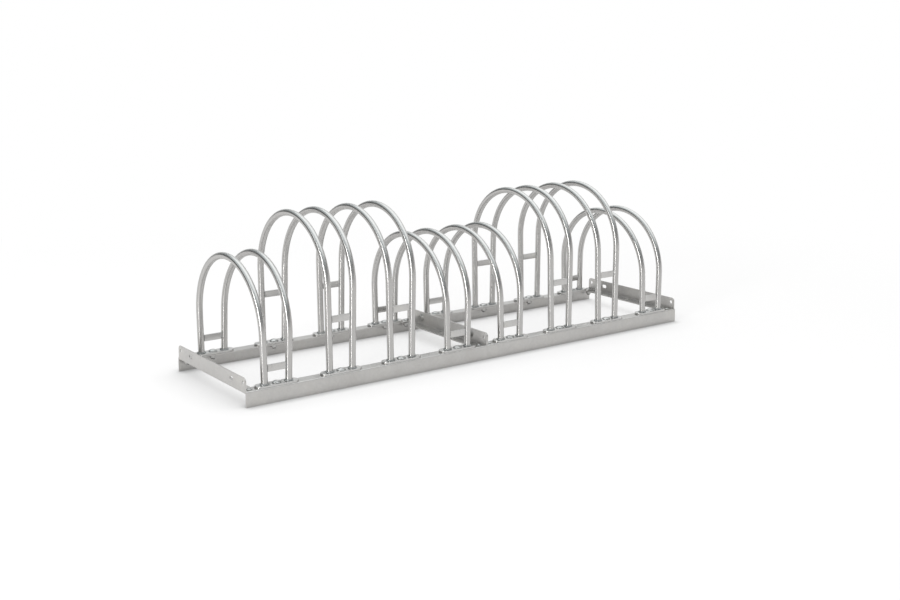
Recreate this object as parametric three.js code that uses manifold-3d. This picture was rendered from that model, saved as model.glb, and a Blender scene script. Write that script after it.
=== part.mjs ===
// Two tier bike rack: two bolted modules of bent steel angle carrying pairs of tube hoops, low and high.
// Millimetres, +Z up. The origin is on the floor, under the middle of the rack. X runs along the rack.
import * as THREE from "three";
import { mergeVertices } from "three/addons/utils/BufferGeometryUtils.js";
import Module from "manifold-3d";

const wasm = await Module();
wasm.setup();

// Driving sizes of the rack as a whole
const moduleLength = 750;
const moduleTotal = 2;
const rackDepth = 400;
const fitGap = 0.3;
const cutOverrun = 2;

// Bent angle profile of the rails and cross members
const angleHeight = 40;
const angleWidth = 35;
const angleThickness = 3;
const angleBendRadius = 3;

// Hoops of round tube. The tyre gap is at their feet, and the splay is how much wider they stand at the top.
const tubeDiameter = 18;
const tubeWall = 2;
const tyreGap = 50;
const hoopSplay = 14;
const lowHoopHeight = 350;
const highHoopHeight = 446;

// Spacer bars welded between the two hoops of a pair, heights measured to the middle of the bar
const lowSpacerHeight = 85;
const highSpacerHeight = 182;
const spacerDepth = 18;
const spacerThickness = 5;

// Foot plates under the legs of a pair
const footPlateLength = 120;
const footPlateWidth = 32;
const footPlateThickness = 5;

// Holes
const carriageBoltHole = 11;
const anchorHole = 12;
const cornerHole = 10;
const cornerHoleEdge = 13;
const cornerHoleDrop = 14;
const joiningSlotLength = 20;
const joiningSlotHeight = 11;
const joiningSlotSpacing = 242;
const joiningSlotDrop = 17;
const upstandCornerRadius = 10;

// Bolts that join the two modules
const joiningBoltDiameter = 10;
const joiningBoltHeadHeight = 6.5;
const joiningBoltAcrossFlats = 16;
const joiningCollarDiameter = 22;
const joiningCollarThickness = 2;
const joiningNutHeight = 8;
const joiningThreadBeyondNut = 5;

// Order of low and high hoop pairs in each module
const tierOrder = ["low", "high", "high", "low"];

// Facets
const tubeSides = 12;
const boreSides = 8;
const archSteps = 14;
const holeSides = 12;
const bendSteps = 3;
const roundEndSteps = 5;
const hexSides = 6;

// Places that follow from the sizes
const moduleGap = fitGap;
const memberLength = moduleLength - moduleGap / 2;
const bayPitch = moduleLength / tierOrder.length;
const footSpacing = tyreGap + tubeDiameter;
const legInset = angleWidth / 2;
const archRadius = rackDepth / 2 - legInset;
const railTop = angleHeight;
const footPlateBottom = railTop + fitGap;
const legBottom = footPlateBottom + footPlateThickness + fitGap;
const crossMemberTopOfFlange = railTop - angleThickness - fitGap;
const crossMemberBottom = crossMemberTopOfFlange - angleThickness;
const crossMemberTop = crossMemberBottom + angleHeight;
const crossMemberLength = rackDepth - 2 * (angleThickness + fitGap);
const joiningBoltHeight = crossMemberTop - joiningSlotDrop;

// Finishes
const zincRail = new THREE.MeshStandardMaterial({ color: 0xb4b4b2, roughness: 0.5, metalness: 0.6 });
const zincTube = new THREE.MeshStandardMaterial({ color: 0xc2c4c4, roughness: 0.3, metalness: 0.8 });
const zincPlate = new THREE.MeshStandardMaterial({ color: 0xaeb0af, roughness: 0.45, metalness: 0.7 });
const zincBolt = new THREE.MeshStandardMaterial({ color: 0xc9cbcc, roughness: 0.25, metalness: 0.9 });

// Solids from three.js geometry, and back again
function solidOf(geometry) {
  const bare = geometry.index ? geometry.toNonIndexed() : geometry.clone();
  bare.deleteAttribute("normal");
  bare.deleteAttribute("uv");
  const merged = mergeVertices(bare);
  return new wasm.Manifold(
    new wasm.Mesh({
      numProp: 3,
      vertProperties: new Float32Array(merged.attributes.position.array),
      triVerts: new Uint32Array(merged.index.array),
    }),
  );
}

function geometryOf(solid) {
  const mesh = solid.getMesh();
  const geometry = new THREE.BufferGeometry();
  geometry.setAttribute("position", new THREE.BufferAttribute(mesh.vertProperties, mesh.numProp));
  geometry.setIndex(new THREE.BufferAttribute(mesh.triVerts, 1));
  geometry.computeVertexNormals();
  return geometry;
}

function extruded(shape, depth, steps) {
  return new THREE.ExtrudeGeometry(shape, { depth, bevelEnabled: false, curveSegments: steps });
}

function roundCutter(diameter, depth) {
  return new THREE.CylinderGeometry(diameter / 2, diameter / 2, depth, holeSides);
}

function polygon(radius, sides) {
  const points = [];
  for (let i = 0; i < sides; i += 1) {
    const turn = (2 * Math.PI * i) / sides;
    points.push(new THREE.Vector2(radius * Math.cos(turn), radius * Math.sin(turn)));
  }
  return points;
}

function slotShape(length, height) {
  const radius = height / 2;
  const reach = length / 2 - radius;
  const shape = new THREE.Shape();
  shape.absarc(reach, 0, radius, -Math.PI / 2, Math.PI / 2, false);
  shape.absarc(-reach, 0, radius, Math.PI / 2, (3 * Math.PI) / 2, false);
  return shape;
}

// Turns a shape drawn in X-Y to stand in the Y-Z plane, with its depth along X
const facingAlongX = new THREE.Matrix4().makeBasis(
  new THREE.Vector3(0, 1, 0),
  new THREE.Vector3(0, 0, 1),
  new THREE.Vector3(1, 0, 0),
);

// Angle section: one leg stands along +y, the other lies along +x, and the bend is round outside
function angleShape() {
  const shape = new THREE.Shape();
  shape.moveTo(angleWidth, 0);
  shape.lineTo(angleWidth, angleThickness);
  shape.lineTo(angleThickness, angleThickness);
  shape.lineTo(angleThickness, angleHeight);
  shape.lineTo(0, angleHeight);
  shape.lineTo(0, angleBendRadius);
  shape.absarc(angleBendRadius, angleBendRadius, angleBendRadius, Math.PI, (3 * Math.PI) / 2, false);
  return shape;
}

// Middle of each pair of hoops, along the module from its left end
function pairPlaces() {
  return tierOrder.map((tier, index) => ({ tier, index, x: (index + 1 / 2) * bayPitch }));
}

// Rail: its upright leg stands on the floor on the outer side, its top leg reaches inwards.
// The outer side faces -Y here. The top leg is notched at both ends for the upright cross members.
function railGeometry() {
  const bar = extruded(angleShape(), memberLength, bendSteps);
  bar.applyMatrix4(
    new THREE.Matrix4().makeBasis(
      new THREE.Vector3(0, 1, 0),
      new THREE.Vector3(0, 0, -1),
      new THREE.Vector3(-1, 0, 0),
    ),
  );
  bar.translate(memberLength, -rackDepth / 2, railTop);
  let solid = solidOf(bar);
  const cut = (geometry) => {
    solid = solid.subtract(solidOf(geometry));
  };
  const flangeCutDepth = angleThickness + 2 * cutOverrun;
  const flangeMiddle = railTop - angleThickness / 2;
  const legLine = -archRadius;
  const notchLength = angleThickness + fitGap + cutOverrun;
  const notchWidth = angleWidth - angleThickness + cutOverrun;
  for (const end of [0, memberLength]) {
    const notch = new THREE.BoxGeometry(notchLength, notchWidth, flangeCutDepth);
    const inwards = end === 0 ? 1 : -1;
    notch.translate(
      end + inwards * (notchLength / 2 - cutOverrun),
      -rackDepth / 2 + angleThickness + notchWidth / 2,
      flangeMiddle,
    );
    cut(notch);
  }
  const pairMiddles = pairPlaces().map((place) => place.x);
  for (const boltPlace of [legInset, ...pairMiddles, memberLength - legInset]) {
    const hole = roundCutter(carriageBoltHole, flangeCutDepth).rotateX(Math.PI / 2);
    hole.translate(boltPlace, legLine, flangeMiddle);
    cut(hole);
  }
  return geometryOf(solid);
}

// Cross member at the left end of a module: its upright leg closes the module's end,
// its lying leg points into the module and passes under the rails' top legs.
function crossMemberGeometry() {
  const bar = extruded(angleShape(), crossMemberLength, bendSteps).rotateX(Math.PI / 2);
  bar.translate(0, crossMemberLength / 2, crossMemberBottom);
  let solid = solidOf(bar);

  const half = crossMemberLength / 2;
  const corner = upstandCornerRadius;
  const outline = new THREE.Shape();
  outline.moveTo(-half, crossMemberBottom);
  outline.lineTo(half, crossMemberBottom);
  outline.absarc(half - corner, crossMemberTop - corner, corner, 0, Math.PI / 2, false);
  outline.absarc(-half + corner, crossMemberTop - corner, corner, Math.PI / 2, Math.PI, false);
  const envelope = extruded(outline, angleWidth + 2 * cutOverrun, roundEndSteps);
  envelope.applyMatrix4(facingAlongX);
  envelope.translate(-cutOverrun, 0, 0);
  solid = solid.intersect(solidOf(envelope));

  const cut = (geometry) => {
    solid = solid.subtract(solidOf(geometry));
  };
  const cutDepth = angleThickness + 2 * cutOverrun;
  const uprightMiddle = angleThickness / 2;
  const lyingMiddle = crossMemberBottom + angleThickness / 2;
  for (const side of [-1, 1]) {
    const round = roundCutter(cornerHole, cutDepth).rotateZ(Math.PI / 2);
    round.translate(uprightMiddle, side * (half - cornerHoleEdge), crossMemberTop - cornerHoleDrop);
    cut(round);
    const slot = extruded(slotShape(joiningSlotLength, joiningSlotHeight), cutDepth, roundEndSteps);
    slot.applyMatrix4(facingAlongX);
    slot.translate(-cutOverrun, (side * joiningSlotSpacing) / 2, joiningBoltHeight);
    cut(slot);
    const seat = roundCutter(carriageBoltHole, cutDepth).rotateX(Math.PI / 2);
    seat.translate(legInset, side * archRadius, lyingMiddle);
    cut(seat);
  }
  const anchor = roundCutter(anchorHole, cutDepth).rotateX(Math.PI / 2);
  anchor.translate(legInset, 0, lyingMiddle);
  cut(anchor);
  return geometryOf(solid);
}

// Line of a hoop's tube in the Y-Z plane: up one leg, over the half circle and down the other leg.
// Each leg is one step and the half circle is divided evenly, so straight tube costs no faces.
class HoopLine extends THREE.Curve {
  constructor(archCentreHeight) {
    super();
    this.archCentreHeight = archCentreHeight;
  }

  getPoint(t, target = new THREE.Vector3()) {
    const step = t * (archSteps + 2);
    if (step < 1) {
      const rise = (this.archCentreHeight - legBottom) * step;
      return target.set(0, -archRadius, legBottom + rise);
    }
    if (step > archSteps + 1) {
      const rise = (this.archCentreHeight - legBottom) * (archSteps + 2 - step);
      return target.set(0, archRadius, legBottom + rise);
    }
    const turn = (Math.PI * (step - 1)) / archSteps;
    return target.set(
      0,
      -archRadius * Math.cos(turn),
      this.archCentreHeight + archRadius * Math.sin(turn),
    );
  }

  getTangent(t, target = new THREE.Vector3()) {
    const step = THREE.MathUtils.clamp(t * (archSteps + 2) - 1, 0, archSteps);
    const turn = (Math.PI * step) / archSteps;
    return target.set(0, Math.sin(turn), Math.cos(turn));
  }

  getPointAt(u, target) {
    return this.getPoint(u, target);
  }

  getTangentAt(u, target) {
    return this.getTangent(u, target);
  }

  getSpacedPoints(divisions) {
    return this.getPoints(divisions);
  }
}

// How far a hoop leans outwards for each unit of height, so that the pair opens by the splay at the top
function leanOf(topHeight) {
  return hoopSplay / 2 / (topHeight - tubeDiameter / 2 - legBottom);
}

// Moves each point sideways by slope times its height
function sideways(slope) {
  return new THREE.Matrix4().makeShear(0, 0, 0, 0, slope, 0);
}

// Hoop: hollow round tube, open at the foot of each leg, leaning to its side from the foot up
function hoopGeometry(topHeight, side) {
  const ring = new THREE.Shape(polygon(tubeDiameter / 2, tubeSides));
  ring.holes.push(new THREE.Path(polygon(tubeDiameter / 2 - tubeWall, boreSides).reverse()));
  const line = new HoopLine(topHeight - tubeDiameter / 2 - archRadius);
  const tube = new THREE.ExtrudeGeometry(ring, {
    steps: archSteps + 2,
    bevelEnabled: false,
    extrudePath: line,
  });
  const slope = side * leanOf(topHeight);
  return tube.applyMatrix4(sideways(slope)).translate(-slope * legBottom, 0, 0);
}

// Spacer: flat bar between the legs of two hoops, its ends hollowed to fit round the leaning tubes
function spacerGeometry(topHeight, spacerHeight) {
  const lean = leanOf(topHeight);
  const spacing = footSpacing + 2 * lean * (spacerHeight - legBottom);
  let solid = solidOf(new THREE.BoxGeometry(spacing, spacerThickness, spacerDepth));
  const tubeOutline = new THREE.Shape(polygon(tubeDiameter / 2 + fitGap, tubeSides));
  const cutDepth = spacerDepth + 2 * cutOverrun;
  for (const side of [-1, 1]) {
    const tube = extruded(tubeOutline, cutDepth, 1).translate(0, 0, -cutDepth / 2);
    tube.applyMatrix4(sideways(side * lean)).translate((side * spacing) / 2, 0, 0);
    solid = solid.subtract(solidOf(tube));
  }
  return geometryOf(solid);
}

// Foot plate: flat plate with round ends and a hole for its carriage bolt between the two legs
function footPlateGeometry() {
  const shape = slotShape(footPlateLength, footPlateWidth);
  const bolt = new THREE.Path(polygon(carriageBoltHole / 2, holeSides).reverse());
  shape.holes.push(bolt);
  return extruded(shape, footPlateThickness, roundEndSteps);
}

// Hexagon with a round collar under it, standing on z = 0, as a joining bolt's head and its nut have
function collaredHexagon(height) {
  const hexRadius = joiningBoltAcrossFlats / 2 / Math.cos(Math.PI / hexSides);
  const hexagon = extruded(new THREE.Shape(polygon(hexRadius, hexSides)), height, 1);
  const collarOutline = new THREE.Shape(polygon(joiningCollarDiameter / 2, holeSides));
  const collar = extruded(collarOutline, joiningCollarThickness, 1);
  return solidOf(hexagon).add(solidOf(collar));
}

// Joining bolt: its shank runs along +X from under the head, which lies at negative X
function joiningBoltGeometry() {
  const grip = 2 * (angleThickness + fitGap) + moduleGap;
  const shankLength = grip + fitGap + joiningNutHeight + joiningThreadBeyondNut;
  const shankOutline = new THREE.Shape(polygon(joiningBoltDiameter / 2, holeSides));
  const shank = extruded(shankOutline, shankLength + joiningCollarThickness, 1);
  shank.translate(0, 0, -shankLength);
  const bolt = geometryOf(collaredHexagon(joiningBoltHeadHeight).add(solidOf(shank)));
  return bolt.rotateY(-Math.PI / 2).translate(-grip / 2, 0, 0);
}

// Joining nut: hexagon and collar with a clear bore round the bolt's shank, its near face at x = 0
function joiningNutGeometry() {
  const boreOutline = new THREE.Shape(polygon(joiningBoltDiameter / 2 + fitGap, holeSides));
  const bore = extruded(boreOutline, joiningNutHeight + 2 * cutOverrun, 1);
  bore.translate(0, 0, -cutOverrun);
  const nut = geometryOf(collaredHexagon(joiningNutHeight).subtract(solidOf(bore)));
  return nut.rotateY(Math.PI / 2);
}

function named(name, geometry, material) {
  const mesh = new THREE.Mesh(geometry, material);
  mesh.name = name;
  return mesh;
}

// Bottom frame of one module: two rails and two cross members
function baseFrame(module, rail, crossMember) {
  const frame = new THREE.Group();
  const front = named(`rail_front_${module}`, rail, zincRail);
  const back = named(`rail_back_${module}`, rail, zincRail);
  back.rotation.z = Math.PI;
  back.position.x = memberLength;
  const left = named(`cross_member_left_${module}`, crossMember, zincRail);
  const right = named(`cross_member_right_${module}`, crossMember, zincRail);
  right.rotation.z = Math.PI;
  right.position.x = memberLength;
  frame.add(front, back, left, right);
  return frame;
}

// One pair of hoops with its two spacers and two foot plates, centred on x = 0
function hoopPair(label, tier, shapes) {
  const pair = new THREE.Group();
  const tierShapes = shapes[tier];
  const left = named(`hoop_${tier}_${label}_left`, tierShapes.leftHoop, zincTube);
  const right = named(`hoop_${tier}_${label}_right`, tierShapes.rightHoop, zincTube);
  left.position.x = -footSpacing / 2;
  right.position.x = footSpacing / 2;
  pair.add(left, right);
  for (const [side, way] of [["front", -1], ["back", 1]]) {
    const spacer = named(`spacer_${side}_${label}`, tierShapes.spacer, zincPlate);
    spacer.position.set(0, way * archRadius, tierShapes.spacerHeight);
    const foot = named(`foot_plate_${side}_${label}`, shapes.footPlate, zincPlate);
    foot.position.set(0, way * archRadius, footPlateBottom);
    pair.add(spacer, foot);
  }
  return pair;
}

// Bolts and nuts that clamp two modules end to end at x = 0
function moduleJoint(label, shapes) {
  const joint = new THREE.Group();
  for (const [side, way] of [["front", -1], ["back", 1]]) {
    const bolt = named(`joining_bolt_${side}_${label}`, shapes.joiningBolt, zincBolt);
    const nut = named(`joining_nut_${side}_${label}`, shapes.joiningNut, zincBolt);
    bolt.position.set(0, (way * joiningSlotSpacing) / 2, joiningBoltHeight);
    nut.position.set(
      angleThickness + moduleGap / 2 + fitGap,
      (way * joiningSlotSpacing) / 2,
      joiningBoltHeight,
    );
    joint.add(bolt, nut);
  }
  return joint;
}

// The two hoops and the spacer that every pair of a tier is made with
function tierGeometry(topHeight, spacerHeight) {
  return {
    leftHoop: hoopGeometry(topHeight, -1),
    rightHoop: hoopGeometry(topHeight, 1),
    spacer: spacerGeometry(topHeight, spacerHeight),
    spacerHeight,
  };
}

function bikeRack() {
  const shapes = {
    rail: railGeometry(),
    crossMember: crossMemberGeometry(),
    low: tierGeometry(lowHoopHeight, lowSpacerHeight),
    high: tierGeometry(highHoopHeight, highSpacerHeight),
    footPlate: footPlateGeometry(),
    joiningBolt: joiningBoltGeometry(),
    joiningNut: joiningNutGeometry(),
  };
  const rack = new THREE.Group();
  const rackLeft = (-moduleTotal * moduleLength) / 2;
  for (let module = 0; module < moduleTotal; module += 1) {
    const moduleLeft = rackLeft + module * moduleLength;
    const frame = baseFrame(module + 1, shapes.rail, shapes.crossMember);
    frame.position.x = moduleLeft + (module === 0 ? 0 : moduleGap / 2);
    rack.add(frame);
    for (const place of pairPlaces()) {
      const label = module * tierOrder.length + place.index + 1;
      const pair = hoopPair(label, place.tier, shapes);
      pair.position.x = frame.position.x + place.x;
      rack.add(pair);
    }
    if (module > 0) {
      const joint = moduleJoint(module, shapes);
      joint.position.x = moduleLeft;
      rack.add(joint);
    }
  }
  return rack;
}

export default bikeRack();
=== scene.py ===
"""Two tier bike rack: its finished tubes, angle rails, plates, bolts and welds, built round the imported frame.

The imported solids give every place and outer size. Each operator makes one kind of piece, in metres,
with its place in its mesh. The last operator makes the floor, the light and the camera.
"""

import math

import bpy
import numpy as np
from bpy.props import FloatProperty, FloatVectorProperty, IntProperty, PointerProperty
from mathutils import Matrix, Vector


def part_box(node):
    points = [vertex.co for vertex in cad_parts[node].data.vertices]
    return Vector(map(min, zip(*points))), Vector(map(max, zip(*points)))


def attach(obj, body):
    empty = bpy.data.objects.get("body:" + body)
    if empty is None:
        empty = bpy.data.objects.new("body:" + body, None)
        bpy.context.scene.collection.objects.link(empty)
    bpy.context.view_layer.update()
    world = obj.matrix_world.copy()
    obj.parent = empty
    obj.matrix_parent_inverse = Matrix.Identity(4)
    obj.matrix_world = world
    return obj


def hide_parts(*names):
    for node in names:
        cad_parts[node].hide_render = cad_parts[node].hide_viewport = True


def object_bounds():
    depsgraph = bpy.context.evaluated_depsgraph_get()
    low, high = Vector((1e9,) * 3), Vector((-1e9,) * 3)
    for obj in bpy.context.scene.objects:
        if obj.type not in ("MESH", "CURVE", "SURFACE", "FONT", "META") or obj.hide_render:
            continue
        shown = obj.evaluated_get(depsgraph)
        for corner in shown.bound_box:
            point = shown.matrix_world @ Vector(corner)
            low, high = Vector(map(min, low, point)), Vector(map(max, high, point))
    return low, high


bl_info = {
    "name": "Two Tier Bike Rack",
    "version": (1, 0, 0),
    "blender": (4, 5, 0),
    "location": "View3D > Sidebar > Bike Rack",
    "description": "Zinc plated bike rack with low and high tube hoops on bolted angle frames",
    "category": "Add Mesh",
}

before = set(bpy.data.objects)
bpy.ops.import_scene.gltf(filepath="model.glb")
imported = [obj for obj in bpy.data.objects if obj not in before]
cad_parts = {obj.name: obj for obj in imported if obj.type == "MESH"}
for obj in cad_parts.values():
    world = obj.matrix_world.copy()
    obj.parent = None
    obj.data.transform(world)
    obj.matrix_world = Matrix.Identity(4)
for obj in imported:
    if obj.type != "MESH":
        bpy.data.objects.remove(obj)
CAD_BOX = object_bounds()
BODY = "root"
SHARP_ANGLE = math.radians(32)
SENSOR_WIDTH = 36.0
WHITE = (1.0, 1.0, 1.0, 1.0)

# Gaps and overruns, in metres
BORE_GAP = 0.0002
NOTCH_GAP = 0.0003
OVERRUN = 0.002

# A bolt's flat point: its length in metres, and its share of the thread's diameter
POINT_LENGTH = 0.0008
POINT_SHARE = 0.8

# Points round a hole, round a slot or an anchor's hole, along a round corner and along a bend
HOLE_STEPS = 32
SLOT_STEPS = 40
CORNER_STEPS = 12
BEND_STEPS = 7


def nodes_named(start):
    """Names of the CAD nodes that begin with these words, in order."""
    return sorted(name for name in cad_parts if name.startswith(start))


def length(name, description, default):
    """A length property in metres."""
    return FloatProperty(
        name=name, description=description, default=default, min=0.0, unit="LENGTH", subtype="DISTANCE"
    )


def place(name, description, default):
    """A place property: x, y and z in metres."""
    return FloatVectorProperty(
        name=name, description=description, default=default, size=3, unit="LENGTH", subtype="TRANSLATION"
    )


def angle(name, description, degrees):
    """An angle property, its default given in degrees."""
    return FloatProperty(
        name=name, description=description, default=math.radians(degrees), unit="ROTATION", subtype="ANGLE"
    )


def colour(name, description, default):
    """A colour property, as the surface shows it in white light."""
    return FloatVectorProperty(
        name=name, description=description, default=default, min=0.0, max=1.0, size=3, subtype="COLOR"
    )


def share(name, description, default):
    """A number from nothing to all."""
    return FloatProperty(
        name=name, description=description, default=default, min=0.0, max=1.0, subtype="FACTOR"
    )


def amount(name, description, default):
    """A number that is nothing or more."""
    return FloatProperty(name=name, description=description, default=default, min=0.0)


def count(name, description, default):
    """A number of faces."""
    return IntProperty(name=name, description=description, default=default, min=8)


class HoopSizes(bpy.types.PropertyGroup):
    """Tube hoops and the spacers between them"""

    diameter: length("Tube diameter", "Outer diameter of the hoop tube", 0.018)
    wall: length("Tube wall", "Wall thickness of the hoop tube", 0.002)
    spacer_edge: length("Spacer edge radius", "Rounding of the spacer bar's long edges", 0.0008)
    plate_edge: length("Foot plate edge radius", "Rounding of the foot plates' top rims", 0.0008)
    plate_base_edge: length("Foot plate base radius", "Rounding of the foot plates' lower rims", 0.0003)
    round_steps: count("Steps round", "Faces round the tube", 36)
    arch_steps: count("Steps along arch", "Faces along the half circle of a hoop", 56)
    tube_colour: colour("Tube colour", "Zinc on the hoop tube", (0.515, 0.506, 0.494))
    tube_roughness: share("Tube roughness", "Average roughness of the hoop tube", 0.26)
    drawn: share("Drawn finish", "How much the tube's shine is stretched along it", 0.88)
    flat_colour: colour("Plate colour", "Zinc on spacers and foot plates", (0.55, 0.54, 0.525))
    flat_roughness: share("Plate roughness", "Average roughness of spacers and foot plates", 0.3)


class FrameSizes(bpy.types.PropertyGroup):
    """Bent angle rails and cross members"""

    thickness: length("Sheet thickness", "Thickness of the bent sheet", 0.003)
    bend_radius: length("Bend radius", "Outer radius of the bend", 0.003)
    inner_bend: length("Inner bend radius", "Inner radius of the bend", 0.001)
    edge_radius: length("Sheet edge radius", "Rounding of the sheet's cut edges", 0.0004)
    corner_radius: length("Corner radius", "Round top corners of the cross members", 0.010)
    corner_hole: length("Corner hole", "Diameter of the holes near the top corners", 0.010)
    corner_hole_edge: length("Corner hole from end", "From the end to the corner hole's middle", 0.013)
    corner_hole_drop: length("Corner hole from top", "From the top to the corner hole's middle", 0.014)
    slot_length: length("Slot length", "Length of the joining slots", 0.020)
    slot_height: length("Slot height", "Height of the joining slots", 0.011)
    slot_spacing: length("Slot spacing", "Between the middles of the joining slots", 0.242)
    slot_drop: length("Slot from top", "From the top to the slots' middle", 0.017)
    anchor_hole: length("Anchor hole", "Diameter of the ground anchor's hole", 0.012)
    bolt_hole: length("Bolt hole", "Diameter of the carriage bolts' holes", 0.011)
    rail_colour: colour("Rail colour", "Zinc on rails and cross members", (0.522, 0.51, 0.494))
    rail_roughness: share("Rail roughness", "Average roughness of rails and cross members", 0.32)
    rail_matt: share("Rail matt share", "How much of the light the rails' plating scatters", 0.36)


class FixingSizes(bpy.types.PropertyGroup):
    """Bolts, nuts, washers and weld beads"""

    head_diameter: length("Carriage bolt head", "Diameter of the domed head", 0.024)
    head_height: length("Carriage bolt head height", "Height of the domed head", 0.0055)
    corner_head_diameter: length("Corner bolt head", "Diameter of the corner bolts' low heads", 0.015)
    corner_head_height: length("Corner bolt head height", "Height of the corner bolts' low heads", 0.003)
    bolt_diameter: length("Bolt diameter", "Outer diameter of the thread", 0.010)
    thread_pitch: length("Thread pitch", "Rise of the thread in one turn", 0.0015)
    nut_flats: length("Nut across flats", "Width of a carriage bolt's nut across its flats", 0.016)
    nut_height: length("Nut height", "Height of a carriage bolt's nut", 0.008)
    washer_diameter: length("Washer diameter", "Outer diameter of a washer", 0.020)
    washer_thickness: length("Washer thickness", "Thickness of a washer", 0.002)
    thread_beyond_nut: length("Thread beyond nut", "Thread that stands out of a nut", 0.004)
    joining_flats: length("Joining bolt across flats", "Width of a joining bolt's head and nut", 0.016)
    flange_thickness: length("Flange thickness", "Flange of a joining bolt's head and nut", 0.002)
    foot_bead: length("Foot weld", "Radius of the weld bead round a hoop's foot", 0.0022)
    spacer_bead: length("Spacer weld", "Radius of the weld bead at a spacer's end", 0.0017)
    bolt_colour: colour("Bolt colour", "Bright zinc on bolts and nuts", (0.47, 0.465, 0.455))
    bolt_roughness: share("Bolt roughness", "Average roughness of bolts and nuts", 0.32)
    weld_colour: colour("Weld colour", "Zinc on the weld beads", (0.36, 0.36, 0.355))
    weld_roughness: share("Weld roughness", "Average roughness of the weld beads", 0.45)


class StageSizes(bpy.types.PropertyGroup):
    """Floor, light and camera"""

    floor_size: length("Floor size", "Width and depth of the floor", 120.0)
    floor_colour: colour("Floor colour", "Plain pale floor", (1.0, 1.0, 1.0))
    floor_lift: share("Floor lift", "How much the floor near the rack glows, which thins the shadow", 0.56)
    near_floor: length("Near floor", "How far from the rack's middle the near floor reaches", 1.3)
    far_floor: length("Far floor", "From where on the floor is an even white", 2.6)
    # The contact rim and the soft shade are painted shade: they darken the floor's colour and its glow by how
    # shut in it is
    contact_reach: length("Contact reach", "How far the dark rim of the rack's shadow reaches", 0.03)
    contact_tone: share("Contact tone", "How bright the floor stays where it is wholly shut in", 0.2)
    shade_reach: length("Shade reach", "How far the soft shade beside the rack reaches", 0.12)
    shade_tone: share("Shade tone", "How bright the soft shade is at its darkest", 0.72)
    fill: amount("Fill", "Strength of the even light from all sides", 0.54)
    walls: share("Walls", "How bright the studio's walls are in reflections", 0.07)
    ceiling: share("Ceiling", "How bright the studio's ceiling is in reflections", 0.95)
    ceiling_tint: colour("Ceiling tint", "Faint blue of the ceiling in reflections", (0.9, 0.975, 1.0))
    screen_way: angle("Screen direction", "Where the white screen stands, from +Y towards +X", 75)
    key: amount("Key", "Strength of the soft light from above", 1.4)
    key_place: place("Key place", "From where the soft light shines on the rack's middle", (2.0, 0.5, 4.4))
    key_spread: angle("Key spread", "How wide the soft light from above is", 90)
    strip: amount("Strip", "Power of the tall strip light at the left", 76.0)
    strip_place: place("Strip place", "Middle of the strip light", (-4.07, -1.67, 1.15))
    strip_aim: place("Strip aim", "Point that the strip light faces", (0.0, 0.0, 0.3))
    strip_width: length("Strip width", "Width of the strip light", 0.7)
    strip_height: length("Strip height", "Height of the strip light", 2.2)
    azimuth: angle("Azimuth", "Direction that the camera looks in, from +Y towards +X", 36.227)
    elevation: angle("Elevation", "How far the camera looks down", 6.539)
    distance: length("Camera distance", "From the camera to the point it looks at", 3.5488)
    aim: place("Aim", "Point that the camera looks at", (0.0145, 0.0, 0.529))
    lens: amount("Lens", "Focal length on a 36 mm sensor, in millimetres", 49.039)
    shift: amount("Shift", "Downward shift of the picture, as a share of its width", 0.15)


# Shapes: each is (points, faces), points being an array of x, y, z rows in metres


def woven(rows, columns, close_rows=False):
    """Quads of a grid whose columns go round: face (i, j) joins (i, j), (i, j+1), (i+1, j+1), (i+1, j)."""
    i = np.arange(rows if close_rows else rows - 1)[:, None]
    j = np.arange(columns)[None, :]
    i_next, j_next = (i + 1) % rows, (j + 1) % columns
    corners = [i * columns + j, i * columns + j_next, i_next * columns + j_next, i_next * columns + j]
    return np.stack(corners, axis=-1).reshape(-1, 4).tolist()


def outward(points, faces):
    """The same closed shape with its faces turned so that the volume they enclose is positive.

    The volume is the sum, over each face's fan of triangles, of a . (b x c) / 6.
    """
    fans = np.array([(f[0], f[k], f[k + 1]) for f in faces for k in range(1, len(f) - 1)])
    a, b, c = (points[fans[:, k]] for k in range(3))
    volume = np.einsum("ij,ij->", a, np.cross(b, c)) / 6
    return points, (faces if volume > 0 else [face[::-1] for face in faces])


def joined(shapes):
    """One shape from several: the points in a row, each shape's faces counted on from the points before."""
    points = np.concatenate([shape[0] for shape in shapes])
    starts = np.cumsum([0] + [len(shape[0]) for shape in shapes])
    faces = [
        [start + corner for corner in face]
        for start, shape in zip(starts.tolist(), shapes)
        for face in shape[1]
    ]
    return points, faces


def moved(shape, to, right=(1, 0, 0), up=(0, 1, 0), out=(0, 0, 1)):
    """The shape with its x, y and z laid along the directions right, up and out, then moved to a place."""
    turn = np.array([right, up, out], float)
    return outward(shape[0] @ turn + np.array(to, float), shape[1])


def rounded(corners, radii, steps):
    """Closed outline with square corners rounded.

    With p and n the directions to the neighbours before and after a corner, the arc's centre is
    corner + (p + n) * radius, and its points are centre - radius * (n cos a + p sin a), a from 0 to 90
    degrees.
    """
    corners = np.array(corners, float)
    before = np.roll(corners, 1, axis=0) - corners
    after = np.roll(corners, -1, axis=0) - corners
    before /= np.linalg.norm(before, axis=1)[:, None]
    after /= np.linalg.norm(after, axis=1)[:, None]
    radii = np.array(radii, float)[:, None, None]
    a = np.linspace(0, math.pi / 2, steps)[None, :, None]
    centre = (corners + (before + after) * radii[:, :, 0])[:, None, :]
    arcs = centre - radii * (after[:, None, :] * np.cos(a) + before[:, None, :] * np.sin(a))
    return arcs.reshape(-1, 2)


def bridged(first, last):
    """Surface between two rings with as many points each, closed by a flat face at both."""
    size = len(first)
    faces = woven(2, size) + [list(range(size)), list(range(2 * size - 1, size - 1, -1))]
    return outward(np.concatenate([first, last]), faces)


def prism(outline, start, end):
    """Outline in x and y carried along z from start to end."""
    return bridged(*(np.column_stack([outline, np.full(len(outline), z)]) for z in (start, end)))


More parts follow.
